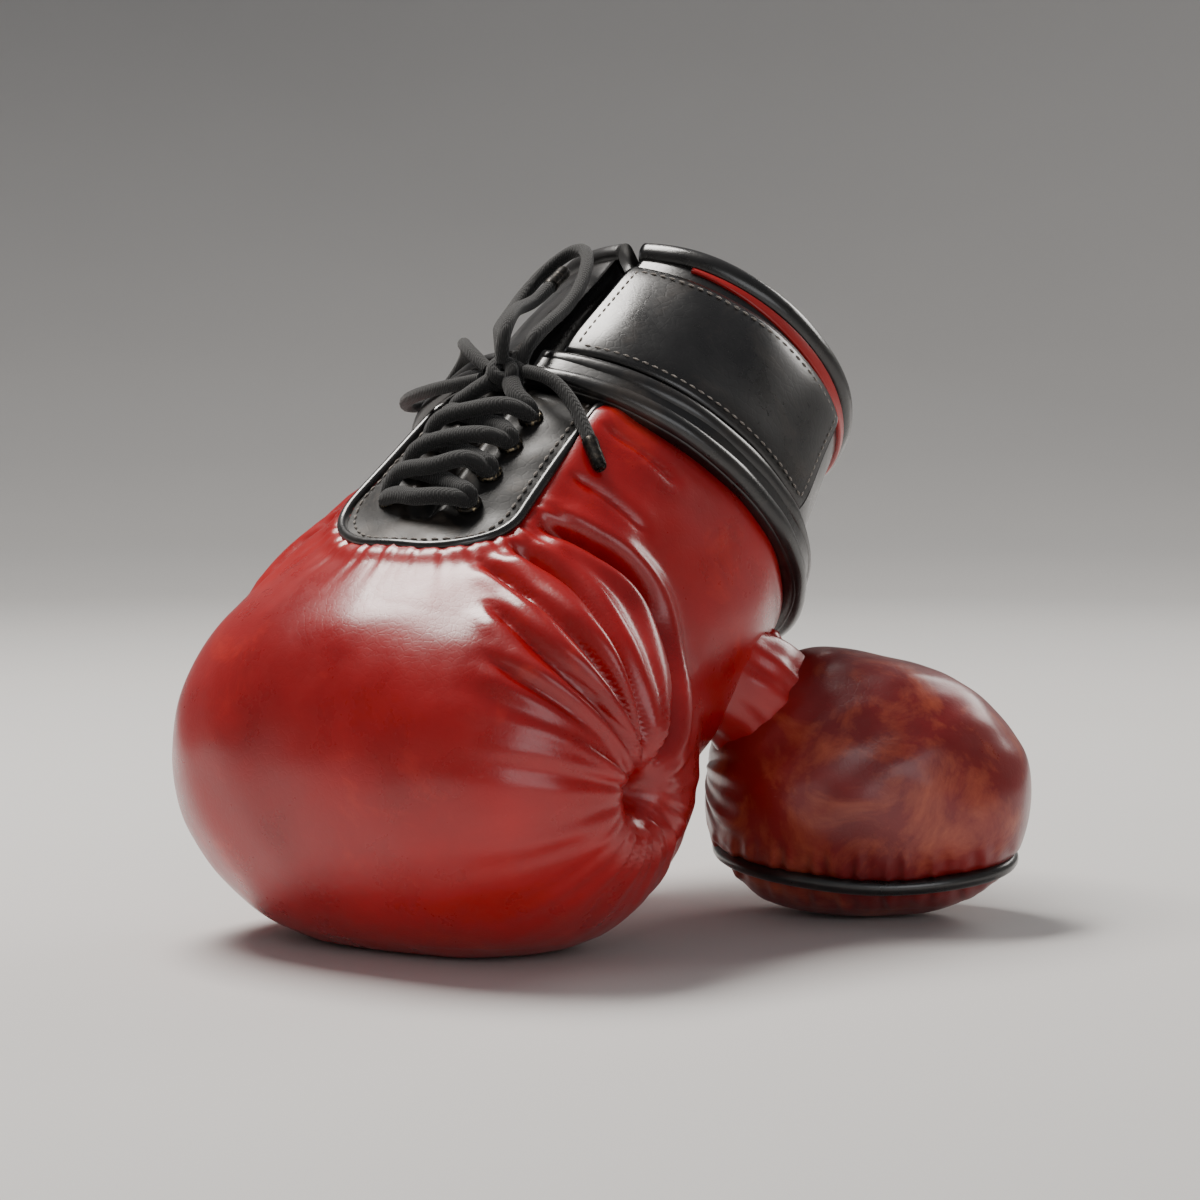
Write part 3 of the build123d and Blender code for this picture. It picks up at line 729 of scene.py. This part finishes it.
# foam and padding under the leather, in the layers that the CAD has
CAP_ROWS = inner_rows[inner_rows < CAP_ROW_COUNT]
SLEEVE_ROWS = inner_rows[(inner_rows > CAP_ROW_COUNT + 30) & (inner_rows < ROWS - 8)]
EVERY_COLUMN = np.arange(0, COLUMNS, COARSE)
PALM_COLUMNS = np.arange(-35, 36, COARSE) % COLUMNS
BACK_COLUMNS = np.arange(45, COLUMNS - 44, COARSE)
for name, rows, columns, top, bottom in (
        ("knuckle_foam_outer", CAP_ROWS, EVERY_COLUMN, 2.4, 9.0),
        ("knuckle_foam_inner", CAP_ROWS, EVERY_COLUMN, 9.4, 15.0),
        ("wrist_padding", SLEEVE_ROWS, BACK_COLUMNS, 2.4, 12.0),
        ("palm_padding", SLEEVE_ROWS, PALM_COLUMNS, 2.4, 10.0)):
    layer = shell_mesh(name + "_layer", inset(top, rows, columns), inset(bottom, rows, columns),
                       wrap=columns is EVERY_COLUMN)
    finish_piece(layer, FOAM, nodes=[name])


RAY_SPREAD = 65.0  # radius at which a ray from the hand axis reaches x


def body_surface(x, s, lift=0.0):
    """Points on the palm side of the body at hand coordinates x and s."""
    x = np.asarray(x, float)
    s = np.asarray(s, float)
    outward = outwards(np.arcsin(np.clip(x / RAY_SPREAD, -1, 1)))
    found = outer_points(hand(x * 0, x * 0, s), outward, body_field)
    return found + outward * lift, outward


# ---------------- lace panel
def panel_outline(half_width, start, end, corner, count=160):
    """U-shaped line of (x, s) points from the upper left corner round the bottom to the upper right."""
    line = [(-half_width, end)]
    for centre, first in ((-half_width + corner, 180), (half_width - corner, 270)):
        for turn in np.radians(np.linspace(first, first + 90, 24)):
            line.append((centre + corner * math.cos(turn), start + corner + corner * math.sin(turn)))
    line = np.array(line + [(half_width, end)])
    travelled = distance_along(line)
    even = np.linspace(0, travelled[-1], count)
    return np.stack([np.interp(even, travelled, line[:, k]) for k in (0, 1)], -1)


outline = panel_outline(PANEL_HALF, PANEL_START, PANEL_END, PANEL_CORNER)
PANEL_GRID = (90, 60)
s_values = np.linspace(PANEL_START, PANEL_END, PANEL_GRID[0])
drop = np.clip((PANEL_START + PANEL_CORNER - s_values) / PANEL_CORNER, 0, 1)
widths = PANEL_HALF - PANEL_CORNER + PANEL_CORNER * np.sqrt(1 - drop ** 2)
x_values = widths[:, None] * np.linspace(-1, 1, PANEL_GRID[1])
s_grid = np.repeat(s_values[:, None], PANEL_GRID[1], 1)
panel_points, panel_normals = body_surface(x_values, s_grid, PANEL_TOP)


def panel_relief(points, x, s):
    """The panel's slit, its rolled edges and its unevenness."""
    open_part = np.clip((s - 38) / 4, 0, 1)
    slit = 5.0 * hill(x, 0, 4.5) * open_part
    rolled = 1.1 * hill(np.abs(x), 7.5, 2.5) * open_part
    return rolled - slit + waves(points, 18, 0.35, 8)


panel_points = panel_points + panel_normals * panel_relief(panel_points, x_values, s_grid)[..., None]
panel_inside = panel_points - panel_normals * PANEL_DEPTH
panel = shell_mesh("lace_panel_leather", panel_points, panel_inside, wrap=False)
finish_piece(panel, PANEL, nodes=["lace_panel"])

edge_points, edge_normals = body_surface(outline[:, 0], outline[:, 1], -0.2)
welt = tube_mesh("lace_panel_welt", edge_points, 1.7, normal=edge_normals)
finish_piece(welt, BLACK)
SEAM_INSET = 3.4
seam = panel_outline(PANEL_HALF - SEAM_INSET, PANEL_START + SEAM_INSET, PANEL_END - 1, PANEL_CORNER - 3)
stitch_points, stitch_normals = body_surface(seam[:, 0], seam[:, 1], PANEL_TOP)
stitch_lift = panel_relief(stitch_points, seam[:, 0], seam[:, 1]) + 0.25
stitch_points = stitch_points + stitch_normals * stitch_lift[:, None]
panel_stitches = stitch_mesh("lace_panel_stitches", stitch_points, stitch_normals, 2.6, 1.1, 0.5)
finish_piece(panel_stitches, THREAD)

# ---------------- eyelets and crossings
EYELET_ROWS = [47, 61, 75, 89]
EYELET_X, EYELET_RADIUS, EYELET_WIRE = 15, 3.2, 0.95
rings = []
for side in (-1, 1):
    for s in EYELET_ROWS:
        centre, normal = body_surface([side * EYELET_X], [s], PANEL_TOP + 0.5)
        turn = full_turn(28)[:, None]
        circle = np.cos(turn) * np.cross(normal[0], ALONG) + np.sin(turn) * ALONG
        circle = centre[0] + EYELET_RADIUS * circle
        rings.append(tube_mesh("eyelet", circle, EYELET_WIRE, sides=10, closed=True, normal=normal[0]))
finish_piece(join("eyelet_rings", rings), METAL, nodes=["eyelets"])

LOW_END, HIGH_END = 38, 101
OVER, UNDER = 72.4, 68.4  # heights of the two lace runs where they cross
strands = []
for k, (lower, upper) in enumerate(zip([LOW_END] + EYELET_ROWS, EYELET_ROWS + [HIGH_END])):
    for side, lift in ((1, UNDER), (-1, OVER)):
        wander = 1.3 * math.sin(2.4 * k + side)
        if lower == LOW_END:
            if side < 0:
                continue
            bottom = EYELET_ROWS[0]
            route = [(EYELET_X, 61.5, bottom), (14.5, 66.5, bottom - 1.5), (8, 69.2, bottom - 3.6),
                     (0, 69.8, bottom - 5), (-8, 69.0, bottom - 3.2), (-14.5, 66, bottom - 1.5),
                     (-EYELET_X, 61.5, bottom)]
        elif upper == HIGH_END:
            route = [(side * EYELET_X, 61, lower), (side * 14, 66.5, lower + 2), (side * 9, 69.0, lower + 5),
                     (side * 3, 70.0, upper)]
        else:
            route = [(side * EYELET_X, 61, lower), (side * 15.4, 66.6, lower + 1),
                     (side * 10, lift - 0.6, lower + 3.4 + wander), (wander, lift, (lower + upper) / 2),
                     (-side * 10, lift - 0.9, upper - 3.4 + wander), (-side * 15.2, 66.2, upper - 1),
                     (-side * EYELET_X, 61, upper)]
        line = spline(route, 48)
        points = hand(line[:, 0], line[:, 1], line[:, 2])
        strands.append(tube_mesh("strand", points, 3.1, sides=14, flat=0.82))
finish_piece(join("lace_strands", strands), LACE, nodes=["lace_crossings"])

# knot: three short turns of lace wrapped over each other
KNOT_S, KNOT_NARROW = 103, 2.6
knots = []
for tilt_turn, size, lift in ((0.5, 5.0, 69.6), (-0.6, 4.6, 70.6), (1.6, 3.6, 71.6)):
    turn = full_turn(48)
    length, breadth = size * np.cos(turn), KNOT_NARROW * np.sin(turn)
    x = length * math.cos(tilt_turn) - breadth * math.sin(tilt_turn)
    s = KNOT_S + length * math.sin(tilt_turn) + breadth * math.cos(tilt_turn)
    points = hand(x, lift + 1.6 * np.sin(turn), s)
    knots.append(tube_mesh("turn", points, 2.3, sides=12, closed=True))
finish_piece(join("lace_knot_turns", knots), LACE, nodes=["lace_knot"])


# ---------------- cuff
def soften(amount, seed, size=40):
    """Shift for a lathe that makes its leather slightly uneven, outwards from the hand axis."""
    def shift(points):
        x, n, s = hand_coordinates(points)
        return points + outwards(np.arctan2(x, n)) * waves(points, size, amount, seed)[..., None]
    return shift


CUFF_LOW, CUFF_HIGH, CUFF_INSIDE = 109, 187, 47.5
CUFF_ARC = (5.5, 354.5)  # the cuff is open over the lacing, and the rolls a little less
ROLL_ARC = (4, 356)


def cuff_section(angle):
    """Cuff wall: a tapering sleeve that swells a little in the middle."""
    loop = []
    for s in np.linspace(CUFF_LOW, CUFF_HIGH, 30):
        loop.append((cuff_radius(s) + 0.6 * math.sin((s - CUFF_LOW) / (CUFF_HIGH - CUFF_LOW) * math.pi), s))
    for s in np.linspace(CUFF_HIGH, CUFF_LOW, 12):
        loop.append((CUFF_INSIDE, s))
    return loop


cuff = lathe("cuff_leather_wrap", cuff_section, CUFF_ARC, 240, soften(0.35, 11))
finish_piece(cuff, BLACK, nodes=["cuff_leather", "cuff_foam"])

# linings, as (radius, s) loops: a sleeve for the hand and a cup for the fingers
HAND_LINING = [(44.0, 189), (44.0, 31), (45.4, 31), (45.4, 189)]
FINGER_LINING = [(0.5, -11), (39, -11), (39, 30), (37.8, 30), (37.8, -9.6), (0.5, -9.6)]
lining = lathe("cuff_and_hand_lining", lambda a: HAND_LINING, (6, 354), 180)
finish_piece(lining, LINING, nodes=["cuff_lining", "hand_lining"])
pocket = lathe("finger_pocket_lining", lambda a: FINGER_LINING, (0, 360), 96)
finish_piece(pocket, LINING, nodes=["finger_lining"])

rim = lathe("rim_binding_roll", lambda a: pill_section(44.6, 58.8, 185.5, 194.5, 4.3, 9), ROLL_ARC, 220,
            soften(0.35, 12, 26))
finish_piece(rim, BLACK, nodes=["rim_binding"])

band = lathe("cuff_band_leather", lambda a: pill_section(60, 66.4, BAND_START, 121.5, 1.6), ROLL_ARC, 220,
             soften(0.3, 13))
finish_piece(band, BLACK, nodes=["cuff_band"])
RIDGES = ((65.8, 111.0), (64.0, 121.0))  # radius and place along the hand
ridges = []
for r, s in RIDGES:
    section = pill_section(r - 4.2, r + 3.4, s - 3.6, s + 3.6, 3.5, 8)
    ridges.append(lathe("ridge", lambda a: section, ROLL_ARC, 220, soften(0.4, 14, 30)))
finish_piece(join("cuff_piping_rolls", ridges), BLACK, nodes=["cuff_piping"])

TRIM_START, TRIM_END = 25, 140


def trim_section(angle):
    """Red stripe, a crescent that is widest at the middle of its arc."""
    share = math.sin(math.pi * (angle - TRIM_START) / (TRIM_END - TRIM_START))
    half = 0.15 + 1.7 * max(share, 0.0) ** 1.3
    cuff_here = cuff_radius(183)
    return pill_section(cuff_here - 0.6, cuff_here + 1.5, 184 - 2 * half, 185.4, 0.7, 5)


trim = lathe("red_trim_stripe", trim_section, (TRIM_START, TRIM_END), 120)
finish_piece(trim, TRIM, nodes=["red_trim"])

# ---------------- wrist strap
STRAP_FREE, STRAP_SEWN, STRAP_LOW, STRAP_HIGH = 8.0, 99.3, 127.0, 177.0
STRAP_INSIDE, STRAP_EDGE, STRAP_CROWN = 2.2, 3.2, 1.5  # heights over the cuff, and the middle's extra


def strap_radius(s):
    """Outer radius of the padded strap, which thins towards its edges."""
    share = (s - STRAP_LOW) / (STRAP_HIGH - STRAP_LOW)
    return cuff_radius(s) + STRAP_EDGE + STRAP_CROWN * (1 - (2 * share - 1) ** 6)


def strap_section(angle):
    """Outside and inside of the strap."""
    outside = [(strap_radius(s), s) for s in np.linspace(STRAP_LOW, STRAP_HIGH, 26)]
    return outside + [(cuff_radius(s) + STRAP_INSIDE, s) for s in np.linspace(STRAP_HIGH, STRAP_LOW, 8)]


strap = lathe("wrist_strap_leather", strap_section, (STRAP_FREE, STRAP_SEWN), 140, soften(0.3, 15, 34))
finish_piece(strap, BLACK, "wrist_strap_body", ["wrist_strap"])


def strap_line(places, lift, count=120):
    """Line over the strap through (angle, s) points, with its outward directions."""
    line = []
    for (a0, s0), (a1, s1) in zip(places, places[1:]):
        for t in np.linspace(0, 1, count // (len(places) - 1), endpoint=False):
            line.append((a0 + t * (a1 - a0), s0 + t * (s1 - s0)))
    line = np.array(line + [places[-1]])
    points = cuff_around(line[:, 0], strap_radius(line[:, 1]) + lift, line[:, 1])
    return points, outwards(np.radians(line[:, 0]))


left, right = STRAP_FREE + 3, STRAP_SEWN - 3
low, high = STRAP_LOW + 3.4, STRAP_HIGH - 3.4
points, outward = strap_line([(left, low), (left, high), (right, high), (right, low), (left, low)], 0.1, 480)
strap_stitches = stitch_mesh("wrist_strap_stitches", points, outward, 2.4, 1.0, 0.42)
finish_piece(strap_stitches, THREAD, "wrist_strap_body")

# hook-and-loop patches between strap and cuff: a thin lens, as (s, height) points
PATCH = ((135, 0.1), (135, 0.85), (151, 0.95), (167, 0.85), (167, 0.1), (151, 0.05))
for node, body, lift in (("strap_hook_patch", "wrist_strap_body", 1.3), ("strap_loop_patch", "glove", 0.0)):
    section = [(cuff_radius(s) + lift + height, s) for s, height in PATCH]
    patch = lathe(node + "_fabric", lambda a: section, (12, 42), 50)
    finish_piece(patch, LINING, body, [node])

# ---------------- tongue, seen through the slit
tongue = lathe("tongue_pad", lambda a: pill_section(45.6, 50.4, 47, 190, 2.2), (-24, 24), 60, soften(0.4, 16))
finish_piece(tongue, BLACK, nodes=["tongue"])

# ---------------- thumb
THUMB_START = np.array([50, 106, 45.0])
THUMB_AHEAD = np.array([0.921, 0.370, -0.120])
THUMB_AHEAD /= np.linalg.norm(THUMB_AHEAD)
THUMB_MIDDLE = THUMB_START + THUMB_AHEAD * 41 + np.array([0, 0, 2.5])
THUMB_SIDE = np.cross(THUMB_AHEAD, [0, 0, 1])
THUMB_SIDE /= np.linalg.norm(THUMB_SIDE)
THUMB_UP = np.cross(THUMB_SIDE, THUMB_AHEAD)
THUMB_HALF, THUMB_WIDE, THUMB_HIGH, THUMB_POWER = 53.5, 41.5, 44.0, 2.25
SEAM_HEIGHT, SEAM_DIP = 21.0, 7.0
SEAM_RISE = np.array([-0.6, 0.8, 0])


def thumb_taper(share):
    """The thumb is fuller at its root than at its tip."""
    return (1 - 0.10 * share) * np.maximum(1 - np.abs(share) ** THUMB_POWER, 0) ** (1 / THUMB_POWER)


def thumb_grid(rows, columns, inset=0.0):
    """Points of the thumb's surface, outward directions and place along it."""
    share = np.sin(np.linspace(-1, 1, rows) * math.pi / 2)
    turn = full_turn(columns)
    outward = THUMB_SIDE * np.cos(turn)[:, None] + THUMB_UP * np.sin(turn)[:, None]
    size = thumb_taper(share)[:, None] * (1 - inset / THUMB_WIDE)
    ring = THUMB_SIDE * (THUMB_WIDE * np.cos(turn))[:, None] + THUMB_UP * (THUMB_HIGH * np.sin(turn))[:, None]
    centres = THUMB_MIDDLE + THUMB_AHEAD * (share * (THUMB_HALF - inset))[:, None, None]
    points = centres + ring[None] * size[..., None]
    return points, np.broadcast_to(outward, points.shape), share, turn


THUMB_GRID, CORE_GRID = (220, 300), (48, 64)
thumb_points, outward, share, turn = thumb_grid(*THUMB_GRID)
from_middle = thumb_points - THUMB_MIDDLE
compass = from_middle / np.maximum(np.linalg.norm(from_middle[..., :2], axis=-1, keepdims=True), 1e-6)
seam_distance = thumb_points[..., 2] - SEAM_HEIGHT - SEAM_DIP * (compass * SEAM_RISE).sum(-1)
pinch = -1.8 * hill(seam_distance, 0, 3.0)
ripple = np.sin(share[:, None] * 44 + 5 * np.sin(turn)[None]) + 0.6 * np.sin(share[:, None] * 71 + 2)
puckers = 0.5 * ripple * hill(np.abs(seam_distance), 6, 5)
gathers = (1.3 * np.sin(15 * turn + 1) + 0.7 * np.sin(26 * turn))[None] * hill(share, -0.96, 0.22)[:, None]
dents = waves(thumb_points, 40, 0.7, 21) + waves(thumb_points, 15, 0.18, 22)
relief = pinch + puckers + gathers + dents
fade = np.clip(thumb_taper(share) * 4, 0, 1)
thumb_points = thumb_points + outward * (relief * fade[:, None])[..., None]
thumb_points = settle(thumb_points, height=5.0, lowest=0.3, softness=math.sqrt(3))
thumb_faces = grid_faces(*THUMB_GRID, wrap_columns=True)
thumb = weld(make_mesh("thumb_leather", thumb_points.reshape(-1, 3), thumb_faces))
finish_piece(thumb, RED_WORN, "thumb", ["thumb_upper_leather", "thumb_lower_leather"])
core_points = thumb_grid(*CORE_GRID, inset=6.0)[0]
core_points[..., 2] = np.maximum(core_points[..., 2], 3.0)
core_faces = grid_faces(*CORE_GRID, wrap_columns=True)
core = weld(make_mesh("thumb_foam_core", core_points.reshape(-1, 3), core_faces))
finish_piece(core, FOAM, "thumb", ["thumb_foam"])

# piping along the thumb's seam: for each direction, the place where a level ray leaves the thumb
seam_line = []
for a in full_turn(200):
    direction = np.array([math.cos(a), math.sin(a), 0.0])
    seam_z = SEAM_HEIGHT + SEAM_DIP * (direction @ SEAM_RISE)
    origin = np.array([THUMB_MIDDLE[0], THUMB_MIDDLE[1], seam_z])
    near, far = 0.0, 80.0
    for _ in range(24):
        middle = (near + far) / 2
        place = origin + direction * middle - THUMB_MIDDLE
        across = math.hypot(place @ THUMB_SIDE / THUMB_WIDE, place @ THUMB_UP / THUMB_HIGH)
        if across < thumb_taper(place @ THUMB_AHEAD / THUMB_HALF):
            near = middle
        else:
            far = middle
    seam_line.append(origin + direction * (near - 0.5))
piping = tube_mesh("thumb_seam_piping", seam_line, 2.6, sides=16, closed=True, normal=np.array([0, 0, 1.0]))
finish_piece(piping, BLACK, "thumb", ["thumb_piping"])

# neck of leather between the thumb and the barrel
hinge = np.array(joints["thumb_swing"]["pos_m"]) / MM
neck_start = hinge - np.array([0.819, 0.353, -0.452]) * 13
neck_end = hinge + np.array([12, 30, -26])
NECK_RINGS, NECK_SIDES = 44, 96
neck_line = spline([neck_start, hinge + np.array([-1, 4, -1]), hinge + np.array([4, 15, -11]), neck_end],
                   NECK_RINGS)
t = np.linspace(0, 1, NECK_RINGS)
neck_radius = 18 + 1.5 * (1 - t) ** 2 + 9 * t ** 2
neck = tube_mesh("thumb_neck_leather", neck_line, neck_radius, sides=NECK_SIDES, normal=ALONG)
positions = np.array([v.co for v in neck.data.vertices]).reshape(NECK_RINGS, NECK_SIDES, 3) / MM
turn = full_turn(NECK_SIDES)
pleats = 0.5 * np.sin(9 * turn + 1.5 * np.sin(2 * turn)) + 0.25 * np.sin(16 * turn + 1)
outward = positions - neck_line[:, None]
outward /= np.linalg.norm(outward, axis=-1, keepdims=True)
relief = pleats[None] * np.sin(t * math.pi)[:, None] + waves(positions, 18, 0.6, 31)
positions = positions + outward * relief[..., None]
neck.data.vertices.foreach_set("co", (positions * MM).ravel())
finish_piece(neck, RED, None, ["thumb_root"])
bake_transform(neck)

# fold of leather that ties the thumb to the barrel
WEB_RINGS = 14
web_line = spline([hinge + ALONG * 14 - np.array([6, 2, 0]), hinge + ALONG * 20,
                   hinge + ALONG * 25 - np.array([6, 3, 0])], WEB_RINGS)
web_radius = 6.0 * np.sin(np.linspace(0.5, 2.7, WEB_RINGS))
web = tube_mesh("thumb_web_fold", web_line, web_radius, sides=20, normal=PALM)
finish_piece(web, RED, nodes=["thumb_web"])

# ---------------- carried-over inner nodes
for node in ("grip_bar", "thumb_lining"):
    frame["nodes"][node].data.materials.clear()
    frame["nodes"][node].data.materials.append(LINING)

# ---------------- stage and light
# floor: a disc that bends up into a wall, as (radius, height) points in metres
FLOOR_FLAT, FLOOR_BEND, FLOOR_SIDES = 1.6, 1.6, 96
profile = [(0.0, 0.0), (0.6, 0.0), (FLOOR_FLAT, 0.0)]
for bend in np.radians(np.linspace(10, 80, 8)):
    profile.append((FLOOR_FLAT + FLOOR_BEND * math.sin(bend), FLOOR_BEND * (1 - math.cos(bend))))
profile.append((3.2, 2.6))
turns = full_turn(FLOOR_SIDES)
floor_points = np.array([[(r * math.cos(a), r * math.sin(a), z) for a in turns] for r, z in profile])
floor_faces = grid_faces(len(profile), FLOOR_SIDES, wrap_columns=True)
floor = weld(make_mesh("floor", floor_points.reshape(-1, 3) / MM, floor_faces))
floor.data.flip_normals()
floor_nodes = Nodes("pale_floor")
place = floor_nodes.add("ShaderNodeTexCoord").outputs["Object"]
floor_colour = floor_nodes.mix(floor_nodes.noise(place, 3), (0.62, 0.61, 0.60, 1), (0.66, 0.65, 0.64, 1))
floor_nodes.link(floor_colour, "Base Color")
floor_nodes.shader.inputs["Roughness"].default_value = 0.7
floor.data.materials.append(floor_nodes.material)

world = bpy.data.worlds.new("studio")
world.use_nodes = True
world.node_tree.nodes["Background"].inputs[0].default_value = (0.86, 0.88, 0.92, 1)
world.node_tree.nodes["Background"].inputs[1].default_value = 0.22
bpy.context.scene.world = world


def softbox(name, place, size, power, colour=(1, 1, 1)):
    """Large soft light that faces the glove."""
    light = bpy.data.lights.new(name, "AREA")
    light.shape = "RECTANGLE"
    light.size, light.size_y = size
    light.energy = power
    light.color = colour
    lamp = bpy.data.objects.new(name, light)
    lamp.location = place
    lamp.rotation_euler = (Vector((0.02, 0.05, 0.1)) - Vector(place)).to_track_quat("-Z", "Y").to_euler()
    bpy.context.collection.objects.link(lamp)


softbox("key", (-0.60, 0.15, 1.45), (0.9, 0.55), 40, (1.0, 0.96, 0.91))
softbox("back", (0.3, 1.5, 0.9), (1.0, 0.4), 8, (1.0, 0.97, 0.93))
softbox("fill", (1.3, -1.0, 0.6), (1.0, 0.8), 5, (0.95, 0.97, 1.0))
